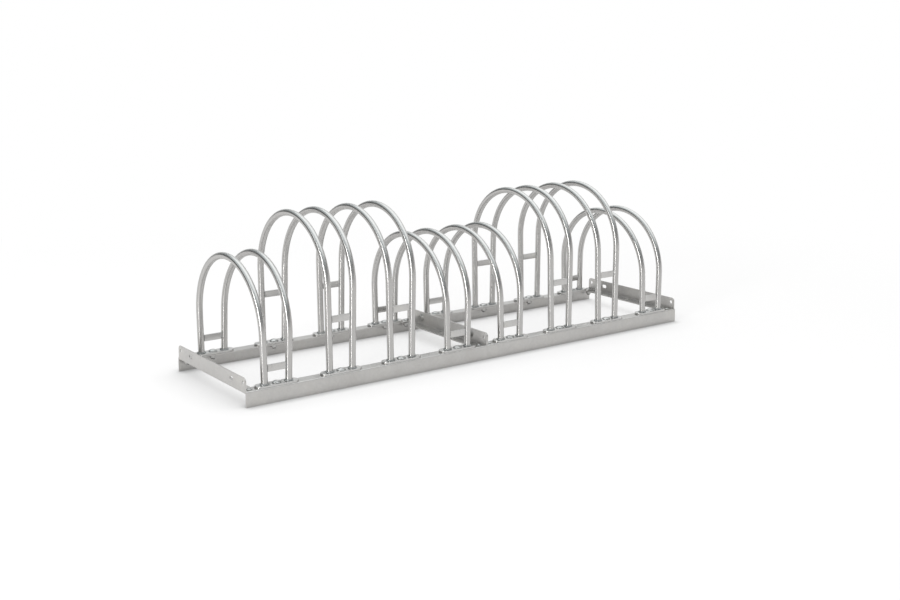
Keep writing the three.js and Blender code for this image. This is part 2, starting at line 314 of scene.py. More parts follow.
def prism_along_x(outline, start, end):
    """Outline in y and z carried along x from start to end."""
    return moved(prism(outline, start, end), (0, 0, 0), (0, 1, 0), (0, 0, 1), (1, 0, 0))


def prism_along_y(outline, start, end):
    """Outline in x and z carried along y from start to end."""
    return moved(prism(outline, start, end), (0, 0, 0), (1, 0, 0), (0, 0, 1), (0, 1, 0))


def circle(radius, steps, middle=(0.0, 0.0)):
    """Points at radius from the middle, evenly spaced by angle."""
    a = np.linspace(0, 2 * math.pi, steps, endpoint=False)
    return np.column_stack([middle[0] + radius * np.cos(a), middle[1] + radius * np.sin(a)])


def stadium(long, wide, steps, middle=(0.0, 0.0)):
    """Outline of a slot: two half circles of diameter wide, whose far points are long apart."""
    a = np.linspace(-math.pi / 2, math.pi / 2, steps // 2)
    side = np.repeat([1.0, -1.0], len(a))
    a = np.concatenate([a, a + math.pi])
    x = middle[0] + side * (long - wide) / 2 + wide / 2 * np.cos(a)
    return np.column_stack([x, middle[1] + wide / 2 * np.sin(a)])


def spun(radii, heights, steps, bore=False):
    """Surface round the z axis.

    Point (i, j) lies at an angle of 2 pi j / steps, a radius of radii[i, j] and a height of heights[i].
    With a bore the last row joins the first. Without one, the first and last rows are poles on the axis.
    """
    radii = np.broadcast_to(np.array(radii, float).reshape(len(heights), -1), (len(heights), steps))
    heights = np.array(heights, float)
    a = 2 * math.pi * np.arange(steps) / steps
    rows = slice(None) if bore else slice(1, -1)
    r, z = radii[rows], np.repeat(heights[rows, None], steps, axis=1)
    points = np.stack([r * np.cos(a), r * np.sin(a), z], axis=-1).reshape(-1, 3)
    faces = woven(len(r), steps, close_rows=bore)
    if not bore:
        first, last = len(points), len(points) + 1
        top = len(points) - steps
        points = np.concatenate([points, [[0, 0, heights[0]], [0, 0, heights[-1]]]])
        faces += [[first, (j + 1) % steps, j] for j in range(steps)]
        faces += [[last, top + j, top + (j + 1) % steps] for j in range(steps)]
    return outward(points, faces)


def hexagon_radii(cone, flats, steps):
    """Radius of a hexagon cut by a cone: in each row the smaller of the cone's radius and the hexagon's.

    The hexagon's radius at an angle is half its width across flats over the cosine of the angle from the
    nearest flat's middle.
    """
    a = 2 * math.pi * np.arange(steps) / steps
    from_flat = (a + math.pi / 6) % (math.pi / 3) - math.pi / 6
    return np.minimum(np.array(cone, float)[:, None], (flats / 2 / np.cos(from_flat))[None, :])


def hexagon_rim(flats, rim_share):
    """Radii and rises of the cone that cuts a hexagon's rim, from the rim out to the corners.

    The rim's radius is a share of half the width across flats, a corner's is that half over cos 30, and the
    cone rises by tan 30 for each metre of radius.
    """
    tip = flats / 2 / math.cos(math.pi / 6)
    rim = rim_share * flats / 2
    slope = np.linspace(0, 1, 5)
    return rim + (tip - rim) * slope, (tip - rim) * math.tan(math.pi / 6) * slope


def threaded(outer, pitch, start, end, steps):
    """Rows of a screw thread from start to end: radius = outer - depth * wave(z / pitch - turn).

    The wave is a triangle that goes from 0 to 1 and back once in a turn. It fades in over the first pitch and
    out over the last.
    """
    depth = 0.6 * pitch
    rows_per_turn = 6
    rows = max(int(round(abs(end - start) / pitch * rows_per_turn)), 2)
    z = np.linspace(start, end, rows + 1)
    turn = np.arange(steps) / steps
    phase = (z[:, None] / pitch - turn[None, :]) % 1
    wave = 1 - np.abs(2 * phase - 1)
    room = np.minimum(np.abs(z - start), np.abs(end - z)) / pitch
    return outer - depth * wave * np.clip(room, 0, 1)[:, None], z


def even_rows(radii, steps):
    """Rows that have the same radius all the way round."""
    return np.repeat(np.array(radii, float)[:, None], steps, axis=1)


def threaded_end(sizes, start, reach, steps):
    """Rows of a bolt's thread from start down to -reach, and of the flat point below it."""
    shank = sizes.bolt_diameter / 2
    radii, heights = threaded(shank, sizes.thread_pitch, start, -reach, steps)
    point = -reach - POINT_LENGTH
    point_radii = even_rows([shank * POINT_SHARE, 0.0], steps)
    return np.concatenate([radii, point_radii]), np.concatenate([heights, [point, point]])


def nut(flats, height, bore, steps=48):
    """Hexagon nut from z = 0 to height, both rims cut by a cone that rises 30 degrees from the flats."""
    radii, rises = hexagon_rim(flats, rim_share=0.95)
    chamfer = height * 0.06
    cone = [bore + chamfer, *radii, *radii[::-1], bore + chamfer, bore, bore]
    heights = [0.0, *rises, *(height - rises[::-1]), height, height - chamfer, chamfer]
    return spun(hexagon_radii(cone, flats, steps), heights, steps, bore=True)


def washer(outer, inner, thickness, steps=40):
    """Flat ring from z = 0 to thickness with its outer rims rounded by a fifth of its thickness."""
    soft = thickness / 5
    radii = [inner, outer - soft, outer, outer, outer - soft, inner]
    heights = [0.0, 0.0, soft, thickness - soft, thickness, thickness]
    return spun(radii, heights, steps, bore=True)


def carriage_bolt(sizes, head_diameter, head_height, reach, steps=32):
    """Domed bolt standing on z = 0, its shank going down to -reach, where it is threaded.

    The dome is the part of a sphere over a circle: with head radius a and height h, the sphere's radius is
    (a a + h h) / 2 h. It stands on a short upright rim.
    """
    rim, soft_height, soft_inset = 0.0012, 0.0004, 0.0003
    thread_share, plain_share = 0.35, 0.98
    a, h = head_diameter / 2, head_height - rim
    sphere = (a * a + h * h) / (2 * h)
    tilt = np.linspace(0, math.asin(a / sphere), 9)
    shank = sizes.bolt_diameter / 2
    thread_from = -reach * thread_share
    thread_r, thread_z = threaded_end(sizes, thread_from, reach, steps)
    head_r = [*(sphere * np.sin(tilt)), a, a - soft_inset, shank, shank]
    head_z = [*(rim + h - sphere * (1 - np.cos(tilt))), soft_height, 0.0, 0.0, thread_from * plain_share]
    radii = np.concatenate([even_rows(head_r, steps), thread_r[1:]])
    return spun(radii, [*head_z, *thread_z[1:]], steps)


def hexagon_bolt(sizes, head_height, collar, grip, steps=48):
    """Flanged bolt whose head stands on z = 0, its shank going down to -grip, threaded on its last half.

    The head's middle is a little lower than its rim, and the flange slopes down to its edge.
    """
    dish_radius_share, dish_height_share = 0.6, 0.96
    flange_slope, flange_soft = 0.0006, 0.0002
    slope_height_share, edge_height_share = 0.9, 0.6
    plain_share, thread_share = 0.45, 0.47
    radii, rises = hexagon_rim(sizes.joining_flats, rim_share=0.94)
    dish = head_height * dish_height_share
    shank, flange = sizes.bolt_diameter / 2, sizes.flange_thickness
    cone = [0.0, radii[0] * dish_radius_share, *radii, radii[-1]]
    head_z = [dish, dish, *(head_height - rises), flange]
    flange_r = [collar - flange_slope, collar, collar, collar - flange_soft, shank, shank]
    flange_z = [flange * slope_height_share, flange * edge_height_share, flange_soft, 0.0, 0.0]
    thread_r, thread_z = threaded_end(sizes, -grip * thread_share, grip, steps)
    head = hexagon_radii(cone, sizes.joining_flats, steps)
    rows = np.concatenate([head, even_rows(flange_r, steps), thread_r])
    return spun(rows, [*head_z, *flange_z, -grip * plain_share, *thread_z], steps)


def hoop(low, high, foot, slope, sizes):
    """Tube bent into a hoop, with the straight tube's own coordinates and the tube's direction at each point.

    The line goes up at one side, over a half circle and down at the other. Point (i, j) is
    line(i) + radius * (cos a * across + sin a * X), where across is square to the line in the hoop's plane,
    and the hoop leans by slope: x = foot + slope * (z - low z) + radius * sin a.
    The outer skin runs from foot to foot and the inner skin runs back, so the two join at the feet.
    """
    radius = sizes.diameter / 2
    arch = (high.y - low.y) / 2 - radius
    centre = high.z - radius - arch
    t = np.linspace(0, math.pi, sizes.arch_steps + 1)
    y = np.concatenate([[-arch], -arch * np.cos(t), [arch]])
    z = np.concatenate([[low.z], centre + arch * np.sin(t), [low.z]])
    away = np.concatenate([[0.0], t, [math.pi]])
    run = np.concatenate([[0.0], np.cumsum(np.hypot(np.diff(y), np.diff(z)))])
    there_and_back = np.concatenate([np.arange(len(y)), np.arange(len(y))[::-1]])
    skin = np.repeat([radius, radius - sizes.wall], len(y))[:, None]
    y, z, away, run = (values[there_and_back][:, None] for values in (y, z, away, run))
    a = (2 * math.pi * np.arange(sizes.round_steps) / sizes.round_steps)[None, :]
    across = skin * np.cos(a)
    z = z + across * np.sin(away)
    x = foot + slope * (z - low.z) + skin * np.sin(a)
    points = np.stack([x, y - across * np.cos(away), z], axis=-1)
    straight = np.stack([across, skin * np.sin(a), run + 0 * a], axis=-1)
    along = np.stack([0 * away + 0 * a, np.sin(away) + 0 * a, np.cos(away) + 0 * a], axis=-1)
    faces = woven(len(y), sizes.round_steps, close_rows=True)
    vectors = {"straight": straight.reshape(-1, 3), "along": along.reshape(-1, 3)}
    return outward(points.reshape(-1, 3), faces), vectors


def spacer(low, high, tubes, foot_z, sizes):
    """Flat bar with rounded long edges, each end hollowed to its leaning tube.

    At height z a tube's middle is at foot + slope * (z - foot z), and the end lies at a distance of
    sqrt(r r - y y) from it, y being the distance from the bar's middle.
    """
    radius, middle = sizes.diameter / 2, (low.y + high.y) / 2
    corners = [(low.y, low.z), (high.y, low.z), (high.y, high.z), (low.y, high.z)]
    outline = rounded(corners, [sizes.spacer_edge] * 4, 5)
    seat = np.sqrt(radius**2 - (outline[:, 0] - middle) ** 2)
    ends = [
        np.column_stack([foot + slope * (outline[:, 1] - foot_z) + way * seat, outline])
        for (foot, slope), way in zip(tubes, (1, -1))
    ]
    return bridged(*ends)


def foot_plate(low, high, hole, soft, base_soft, steps=64):
    """Plate with round ends and a hole.

    Its rows go from the hole's rim under the plate, round the outside, to the hole's rim on top, and the
    last row joins the first. Each outer row is a slot outline pulled in by the rim's rounding r:
    r * (1 - sin a) at a height of r * (1 - cos a) from the face, for a from 0 to 90 degrees.
    """
    size, middle = high - low, (low + high) / 2
    a = np.linspace(0, math.pi / 2, 6)
    pull, lift = 1 - np.sin(a), 1 - np.cos(a)
    pulls = [*(base_soft * pull), *(soft * pull[::-1])]
    heights = [*(base_soft * lift), *(size.z - soft * lift[::-1])]
    # The hole's points lie beside the slot outline's, which start at its lower right
    half_step = math.pi / steps
    cosine, sine = math.cos(half_step), math.sin(half_step)
    turned = circle(hole / 2, steps) @ np.array([[cosine, sine], [-sine, cosine]])
    ring = np.roll(turned, steps // 4, axis=0)
    rows = [np.column_stack([ring, np.zeros(steps)])]
    for inset, z in zip(pulls, heights):
        outline = stadium(size.x - 2 * inset, size.y - 2 * inset, steps)
        rows.append(np.column_stack([outline, np.full(steps, z)]))
    rows.append(np.column_stack([ring, np.full(steps, size.z)]))
    points = np.concatenate(rows) + np.array([middle.x, middle.y, low.z])
    return outward(points, woven(len(rows), steps, close_rows=True))


def ring_bead(middle, tube_radius, bead, phase, steps=56, around=10):
    """Weld bead round a tube's foot: a ring of circles of radius bead * (1 + ripple).

    The ripple is the sum of two sines of the angle round the tube: a fine one with a wave for each pass of
    the torch, and a coarse one with three waves.
    """
    passes, fine, coarse = 17, 0.13, 0.09
    out_share, up_share = 0.3, 0.25
    a = 2 * math.pi * np.arange(steps) / steps
    ripple = fine * np.sin(passes * a + phase) + coarse * np.sin(3 * a + 2.1 * phase)
    b = 2 * math.pi * np.arange(around) / around
    size = bead * (1 + ripple)[:, None]
    r = tube_radius + bead * out_share + size * np.cos(b)[None, :]
    z = bead * up_share + size * np.sin(b)[None, :]
    points = np.stack([r * np.cos(a)[:, None], r * np.sin(a)[:, None], z], axis=-1).reshape(-1, 3)
    return outward(points + np.array(middle, float), woven(steps, around, close_rows=True))


def line_bead(bottom, top, bead, phase, steps=18, around=10):
    """Upright weld bead from bottom to top.

    Its rows are circles of radius bead * (1 - s^4)^(1/2) * (1 + ripple), s going from -1 to 1, and the
    ripple is a sine of s. Its middle moves evenly from the one end's x and y to the other's.
    """
    ripple, ripple_turn = 0.12, 9
    bottom, top = np.array(bottom), np.array(top)
    s = np.linspace(-1, 1, steps + 1)
    swell = np.sqrt(np.clip(1 - s**4, 0, 1)) * (1 + ripple * np.sin(ripple_turn * s + phase))
    radii = bead * swell[:, None] * np.ones((1, around))
    points, faces = spun(radii, (bottom[2] + top[2]) / 2 + s * (top[2] - bottom[2]) / 2, around)
    climb = (points[:, 2:] - bottom[2]) / (top[2] - bottom[2])
    points[:, :2] += bottom[:2] + climb * (top - bottom)[:2]
    return outward(points, faces)


def angle_outline(outer, inner, fold, edge, sizes):
    """Outline of a bent angle, across and up.

    The upright leg's outside is at outer and goes from fold to edge. The lying leg's outside is at fold and
    goes from outer to inner.
    """
    across = math.copysign(sizes.thickness, inner - outer)
    up = math.copysign(sizes.thickness, edge - fold)
    corners = [
        (outer, fold),
        (inner, fold),
        (inner, fold + up),
        (outer + across, fold + up),
        (outer + across, edge),
        (outer, edge),
    ]
    soft = [sizes.edge_radius] * 2
    return rounded(corners, [sizes.bend_radius, *soft, sizes.inner_bend, *soft], BEND_STEPS)


def rail_cutters(low, high, outer, inner, sizes):
    """Room for the cross members at a rail's ends, and the bolt holes in its lying leg."""
    across = math.copysign(sizes.thickness, inner - outer)
    notch = sizes.thickness + NOTCH_GAP
    bottom, top = high.z - 3 * OVERRUN, high.z + OVERRUN
    near, far = sorted((outer + across, inner + math.copysign(OVERRUN, across)))
    room = np.array([(near, bottom), (far, bottom), (far, top), (near, top)])
    cutters = [
        prism_along_x(room, *ends)
        for ends in ((low.x - OVERRUN, low.x + notch), (high.x - notch, high.x + OVERRUN))
    ]
    cutters += [
        prism(circle(sizes.bolt_hole / 2, HOLE_STEPS, (x, y)), bottom, top)
        for x, y, _ in bolt_places()
        if low.x < x < high.x and near < y < far
    ]
    return cutters


def cross_member_cutters(low, high, outer, inner, sizes):
    """What is cut from a cross member.

    The upright leg has a hole, a slot and a round corner at each end. The lying leg has the ground anchor's
    hole in its middle and a bolt hole at each end.
    """
    across = math.copysign(sizes.thickness, inner - outer)
    through = sorted((outer - math.copysign(OVERRUN, across), outer + 3 * across))
    radius, beyond_z = sizes.corner_radius, high.z + OVERRUN
    t = np.linspace(0, math.pi / 2, CORNER_STEPS)
    outlines = []
    for way, end in ((-1, low.y), (1, high.y)):
        hole_place = (end - way * sizes.corner_hole_edge, high.z - sizes.corner_hole_drop)
        slot_place = (way * sizes.slot_spacing / 2, high.z - sizes.slot_drop)
        bend_y, beyond_y = end - way * radius, end + way * OVERRUN
        arc = np.column_stack([bend_y + way * radius * np.cos(t), high.z - radius + radius * np.sin(t)])
        beyond = [(bend_y, beyond_z), (beyond_y, beyond_z), (beyond_y, high.z - radius)]
        outlines.append(circle(sizes.corner_hole / 2, HOLE_STEPS, hole_place))
        outlines.append(stadium(sizes.slot_length, sizes.slot_height, SLOT_STEPS, slot_place))
        outlines.append(np.concatenate([arc, beyond]))
    cutters = [prism_along_x(outline, *through) for outline in outlines]
    lying = (low.z - OVERRUN, low.z + sizes.thickness + OVERRUN)
    middle = (low.x + high.x) / 2
    cutters.append(prism(circle(sizes.anchor_hole / 2, SLOT_STEPS, (middle, 0.0)), *lying))
    cutters += [
        prism(circle(sizes.bolt_hole / 2, HOLE_STEPS, (x, y)), *lying)
        for x, y, _ in bolt_places()
        if abs(x - middle) < sizes.thickness
    ]
    return cutters


# Finishes


def node_maker(tree):
    """A function that adds a node to the tree, sets its values and links its inputs."""

    def add(kind, inputs=(), **values):
        made = tree.nodes.new(kind)
        for key, value in values.items():
            setattr(made, key, value)
        for key, value in dict(inputs).items():
            if isinstance(value, bpy.types.NodeSocket):
                tree.links.new(value, made.inputs[key])
            else:
                made.inputs[key].default_value = value
        return made

    return add


def emptied(owner):
    """A function that adds nodes to the owner's tree, which is cleared first."""
    owner.use_nodes = True
    owner.node_tree.nodes.clear()
    return node_maker(owner.node_tree)


def worked_out(add, operation, *numbers):
    """The result of a sum on the numbers."""
    return add("ShaderNodeMath", dict(enumerate(numbers)), operation=operation).outputs["Value"]


def ranged(add, value, start, end, low, high, kind="LINEAR"):
    """The value carried from the range start to end over to the range low to high."""
    inputs = {"Value": value, "From Min": start, "From Max": end, "To Min": low, "To Max": high}
    return add("ShaderNodeMapRange", inputs, interpolation_type=kind).outputs["Result"]


def noise(add, where, scale, detail, roughness):
    """Soft noise from 0 to 1."""
    inputs = {"Vector": where, "Scale": scale, "Detail": detail, "Roughness": roughness}
    return add("ShaderNodeTexNoise", inputs).outputs["Fac"]


def zinc(name, tint, roughness, grain, streak, edge_tint, mottle, relief, drawn=0.0, matt=0.0):
    """Zinc plated steel: soft clouds of tone, a fine grain of small cells, and faint drawing lines.

    The pattern lies in the object's coordinates, or in the straight tube's where the tube was drawn before
    it was bent. Grain is the number of cells to a metre. Streak is how close the lines lie along each axis,
    so they run along the one where it is small. Mottle is how far the tone varies, relief is how deep the
    grain is, drawn is how much the shine stretches along the tube, and matt is how much of the light the
    plating scatters instead of mirroring it.
    """
    material = bpy.data.materials.new(name)
    add = emptied(material)
    if drawn:
        where = add("ShaderNodeAttribute", attribute_name="straight").outputs["Vector"]
    else:
        where = add("ShaderNodeTexCoord").outputs["Object"]
    clouds = noise(add, where, scale=11.0, detail=4.0, roughness=0.55)
    stains = noise(add, where, scale=34.0, detail=6.0, roughness=0.65)
    along = add("ShaderNodeMapping", {"Vector": where, "Scale": streak}).outputs["Vector"]
    lines = noise(add, along, scale=1.0, detail=5.0, roughness=0.6)
    cells = add("ShaderNodeTexVoronoi", {"Vector": where, "Scale": grain, "Randomness": 1.0})
    cell_tone = add("ShaderNodeSeparateColor", {"Color": cells.outputs["Color"]}).outputs["Red"]

    # The clouds go from a dull zinc over a cool one to a warm one
    dull = tuple(c * (1 - mottle) for c in tint)
    cool = (tint[0], tint[1] * (1 + mottle / 10), tint[2] * (1 + mottle / 5))
    warm = (tint[0] * (1 + mottle / 2), tint[1] * (1 + mottle / 2), tint[2] * (1 + mottle / 4))
    tone = add("ShaderNodeValToRGB", {"Fac": clouds})
    ramp = tone.color_ramp
    ramp.elements[0].position, ramp.elements[1].position = 0.3, 0.72
    ramp.elements[0].color, ramp.elements[1].color = (*dull, 1), (*warm, 1)
    middle = ramp.elements.new(0.5)
    middle.color = (*cool, 1)
    spread = ranged(add, cell_tone, 0.0, 1.0, 1 - mottle / 2, 1 + mottle / 2)
    stain = ranged(add, stains, 0.35, 0.7, 1 - mottle / 2, 1 + mottle / 2)
    level = worked_out(add, "MULTIPLY", spread, stain)
    shade = add("ShaderNodeVectorMath", {0: tone.outputs["Color"], "Scale": level}, operation="SCALE")

    rough_cells = ranged(add, cell_tone, 0.0, 1.0, roughness - mottle / 4, roughness + mottle / 4)
    rough_stains = ranged(add, stains, 0.3, 0.7, -mottle / 4, mottle / 4)
    grain_share, grain_depth = 0.6, 0.00025
    height = worked_out(add, "MULTIPLY_ADD", lines, grain_share, cell_tone)
    bumps = add("ShaderNodeBump", {"Strength": relief, "Distance": grain_depth, "Height": height})
    plating = {
        "Base Color": shade.outputs["Vector"],
        "Metallic": 1.0 - matt,
        "Roughness": worked_out(add, "ADD", rough_cells, rough_stains),
        "Specular Tint": (edge_tint, edge_tint, edge_tint, 1.0),
        "Normal": bumps.outputs["Normal"],
    }
    if drawn:
        plating["Tangent"] = add("ShaderNodeAttribute", attribute_name="along").outputs["Vector"]
        plating["Anisotropic"] = drawn
    shader = add("ShaderNodeBsdfPrincipled", plating)
    add("ShaderNodeOutputMaterial", {"Surface": shader.outputs["BSDF"]})
    return material


def finish_of(name):
    """The named finish, made on first use from the colours and roughnesses in the panel."""
    if name in bpy.data.materials:
        return bpy.data.materials[name]
    scene = bpy.context.scene
    hoops, rails, fixings = scene.rack_hoops, scene.rack_frame, scene.rack_fixings
    sheet = dict(
        tint=rails.rail_colour,
        roughness=rails.rail_roughness,
        grain=170.0,
        edge_tint=0.8,
        mottle=0.06,
        relief=0.12,
        matt=rails.rail_matt,
    )
    looks = {
        "tube zinc": dict(
            tint=hoops.tube_colour,
            roughness=hoops.tube_roughness,
            grain=420.0,
            streak=(500.0, 500.0, 9.0),
            edge_tint=1.0,
            mottle=0.03,
            relief=0.004,
            drawn=hoops.drawn,
        ),
        "plate zinc": dict(
            tint=hoops.flat_colour,
            roughness=hoops.flat_roughness,
            grain=380.0,
            streak=(60.0, 500.0, 500.0),
            edge_tint=0.9,
            mottle=0.08,
            relief=0.06,
        ),
        "rail zinc": dict(streak=(10.0, 10.0, 420.0), **sheet),
        "cross member zinc": dict(streak=(420.0, 10.0, 420.0), **sheet),
        "bolt zinc": dict(
            tint=fixings.bolt_colour,
            roughness=fixings.bolt_roughness,
            grain=900.0,
            streak=(300.0, 300.0, 300.0),
            edge_tint=0.7,
            mottle=0.06,
            relief=0.06,
        ),
        "weld zinc": dict(
            tint=fixings.weld_colour,
            roughness=fixings.weld_roughness,
            grain=1400.0,
            streak=(800.0, 800.0, 800.0),
            edge_tint=0.7,
            mottle=0.12,
            relief=0.3,
        ),
    }
    return zinc(name, **looks[name])


def soften(piece):
    """Smooth shading that stops at edges sharper than the sharp angle."""
    piece.data.polygons.foreach_set("use_smooth", [True] * len(piece.data.polygons))
    piece.data.set_sharp_from_angle(angle=SHARP_ANGLE)


def place_piece(name, shape, finish, replaced=(), vectors=()):
    """Puts a shape into a mesh object at the origin that rides on the rack, and returns it.

    Vectors holds named vectors of every point, which the finish reads.
    """
    points, faces = shape
    mesh = bpy.data.meshes.new(name)
    mesh.from_pydata(points.tolist(), [], faces)
    mesh.update()
    for key, rows in dict(vectors).items():
        attribute = mesh.attributes.new(key, "FLOAT_VECTOR", "POINT")
        attribute.data.foreach_set("vector", rows.astype(np.float32).ravel())
    if mesh.validate(verbose=False):
        raise RuntimeError(f"{name} has faces that Blender had to mend")
    piece = bpy.data.objects.new(name, mesh)
    bpy.context.scene.collection.objects.link(piece)
    piece.data.materials.append(finish_of(finish))
    soften(piece)
    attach(piece, BODY)
    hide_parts(*replaced)
    return piece


def cut_from(piece, cutters):
    """Takes the cutters' space out of the piece, and makes the result its mesh."""
    mesh = bpy.data.meshes.new("cutter")
    points, faces = joined(cutters)
    mesh.from_pydata(points.tolist(), [], faces)
    cutter = bpy.data.objects.new("cutter", mesh)
    bpy.context.scene.collection.objects.link(cutter)
    holes = piece.modifiers.new("holes", "BOOLEAN")
    holes.operation = "DIFFERENCE"
    holes.solver = "EXACT"
    holes.object = cutter
    result = bpy.data.meshes.new_from_object(
        piece.evaluated_get(bpy.context.evaluated_depsgraph_get())
    )
    piece.modifiers.clear()
    piece.data = result
    piece.data.name = piece.name
    bpy.data.objects.remove(cutter)
    soften(piece)


# Places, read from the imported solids


def pair_numbers():
    """Numbers of the hoop pairs, as their nodes' names end."""
    return sorted({name.split("_")[2] for name in nodes_named("hoop_")}, key=int)


def hoops_of(number):
    """Nodes of one pair's two hoops, left and right."""
    return [name for name in nodes_named("hoop_") if name.split("_")[2] == number]


def lean_of(name, radius):
    """Where the hoop's tube stands in x at its foot, and how far it moves sideways for each metre of height.

    The box ends at the tube's inner side at the foot, and at its outer side at the top.
    """
    low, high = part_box(name)
    if name.endswith("left"):
        foot, top = high.x - radius, low.x + radius
    else:
        foot, top = low.x + radius, high.x - radius
    return foot, (top - foot) / (high.z - radius - low.z)


def rail_top():
    """Height of the rails' tops."""
    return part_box("rail_front_1")[1].z


def bolt_places():
    """Places of the carriage bolts: (x, y, height of the seat).

    There is one on each foot plate, and one wherever a rail and a cross member cross.
    """
    feet = [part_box(name) for name in nodes_named("foot_plate_")]
    places = [((low.x + high.x) / 2, (low.y + high.y) / 2, high.z) for low, high in feet]
    # Rounded, so that the feet's two rows give two values
    feet_y = sorted({round(y, 5) for _, y, _ in places})
    for name in nodes_named("cross_member_"):
        low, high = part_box(name)
        places += [((low.x + high.x) / 2, y, rail_top()) for y in feet_y]
    return places


class RACK_OT_hoops(bpy.types.Operator):
    """Makes the bent tube hoops, each with its wall and open feet"""

    bl_idname = "rack.make_hoops"
    bl_label = "Hoops"

    def execute(self, context):
        sizes = context.scene.rack_hoops
        for name in nodes_named("hoop_"):
            shape, vectors = hoop(*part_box(name), *lean_of(name, sizes.diameter / 2), sizes)
            place_piece(f"tube_{name}", shape, "tube zinc", [name], vectors)
        return {"FINISHED"}


class RACK_OT_spacers(bpy.types.Operator):
    """Makes the flat spacer bars between the legs of each pair of hoops"""

    bl_idname = "rack.make_spacers"
    bl_label = "Spacers"

    def execute(self, context):
        sizes = context.scene.rack_hoops
        foot_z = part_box(nodes_named("hoop_")[0])[0].z
        for name in nodes_named("spacer_"):
            tubes = [lean_of(hoop_name, sizes.diameter / 2) for hoop_name in hoops_of(name.split("_")[2])]
            shape = spacer(*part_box(name), tubes, foot_z, sizes)
            place_piece(f"bar_{name}", shape, "plate zinc", [name])
        return {"FINISHED"}


class RACK_OT_foot_plates(bpy.types.Operator):
    """Makes the round ended foot plates under the legs of each pair"""

    bl_idname = "rack.make_foot_plates"
    bl_label = "Foot plates"

    def execute(self, context):
        hole = context.scene.rack_frame.bolt_hole
        sizes = context.scene.rack_hoops
        for name in nodes_named("foot_plate_"):
            shape = foot_plate(*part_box(name), hole, sizes.plate_edge, sizes.plate_base_edge)
            place_piece(f"plate_{name}", shape, "plate zinc", [name])
        return {"FINISHED"}


class RACK_OT_rails(bpy.types.Operator):
    """Makes the long rails: bent angle with notched ends and bolt holes"""

    bl_idname = "rack.make_rails"
    bl_label = "Rails"

    def execute(self, context):
        sizes = context.scene.rack_frame
        for name in nodes_named("rail_"):
            low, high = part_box(name)
            outer, inner = (low.y, high.y) if high.y < 0 else (high.y, low.y)
            outline = angle_outline(outer, inner, high.z, low.z, sizes)
            bar = prism_along_x(outline, low.x, high.x)
            piece = place_piece(f"angle_{name}", bar, "rail zinc", [name])
            cut_from(piece, rail_cutters(low, high, outer, inner, sizes))
        return {"FINISHED"}


class RACK_OT_cross_members(bpy.types.Operator):
    """Makes the cross members: bent angle with round top corners, holes and joining slots"""

    bl_idname = "rack.make_cross_members"
    bl_label = "Cross members"

    def execute(self, context):
        sizes = context.scene.rack_frame
        for name in nodes_named("cross_member_"):
            low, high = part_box(name)
            outer, inner = (low.x, high.x) if "left" in name else (high.x, low.x)
            outline = angle_outline(outer, inner, low.z, high.z, sizes)
            bar = prism_along_y(outline, low.y, high.y)
            piece = place_piece(f"angle_{name}", bar, "cross member zinc", [name])
            cut_from(piece, cross_member_cutters(low, high, outer, inner, sizes))
        return {"FINISHED"}


class RACK_OT_carriage_bolts(bpy.types.Operator):
    """Makes the domed carriage bolts with their washers and nuts, on the foot plates and at the corners"""

    bl_idname = "rack.make_carriage_bolts"
    bl_label = "Carriage bolts"

    def execute(self, context):
        sizes = context.scene.rack_fixings
        under_rail = rail_top() - context.scene.rack_frame.thickness
        under_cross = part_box("cross_member_left_1")[0].z
        bore = sizes.bolt_diameter / 2 + BORE_GAP
        down = {"right": (1, 0, 0), "up": (0, -1, 0), "out": (0, 0, -1)}
        disc = washer(sizes.washer_diameter / 2, bore, sizes.washer_thickness)
        hexagon = nut(sizes.nut_flats, sizes.nut_height, bore)
        for number, (x, y, seat) in enumerate(bolt_places(), 1):
            under, head = under_rail, (sizes.head_diameter, sizes.head_height)
            if seat == rail_top():
                under, head = under_cross, (sizes.corner_head_diameter, sizes.corner_head_height)
            reach = seat - under + sizes.washer_thickness + sizes.nut_height + sizes.thread_beyond_nut
            pieces = [
                moved(carriage_bolt(sizes, *head, reach), (x, y, seat)),
                moved(disc, (x, y, under), **down),
                moved(hexagon, (x, y, under - sizes.washer_thickness), **down),
            ]
            place_piece(f"carriage_bolt_{number}", joined(pieces), "bolt zinc")
        return {"FINISHED"}


class RACK_OT_joining_bolts(bpy.types.Operator):
    """Makes the flanged bolts and nuts that clamp the two modules end to end"""

    bl_idname = "rack.make_joining_bolts"
    bl_label = "Joining bolts"

    def execute(self, context):
        sizes = context.scene.rack_fixings
        bore = sizes.bolt_diameter / 2 + BORE_GAP
        left = {"right": (0, 1, 0), "up": (0, 0, 1), "out": (-1, 0, 0)}
        right = {"right": (0, 1, 0), "up": (0, 0, 1), "out": (1, 0, 0)}
        for name in nodes_named("joining_bolt_"):
            low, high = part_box(name)
            nut_name = name.replace("bolt", "nut")
            nut_low, nut_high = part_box(nut_name)
            collar = (high.z - low.z) / 2
            y, z = (low.y + high.y) / 2, (low.z + high.z) / 2
            # The modules meet at x = 0, so the head seats as far to the left as the nut does to the right
            seat = -nut_low.x
            bolt = hexagon_bolt(sizes, seat - low.x, collar, high.x - seat)
            shape = moved(bolt, (seat, y, z), **left)
            place_piece(f"flanged_{name}", shape, "bolt zinc", [name])
            hexagon = nut(sizes.joining_flats, nut_high.x - nut_low.x, bore)
            flange = washer(collar, bore, sizes.flange_thickness)
            shape = joined([moved(part, (nut_low.x, y, z), **right) for part in (hexagon, flange)])
            place_piece(f"flanged_{nut_name}", shape, "bolt zinc", [nut_name])
        return {"FINISHED"}


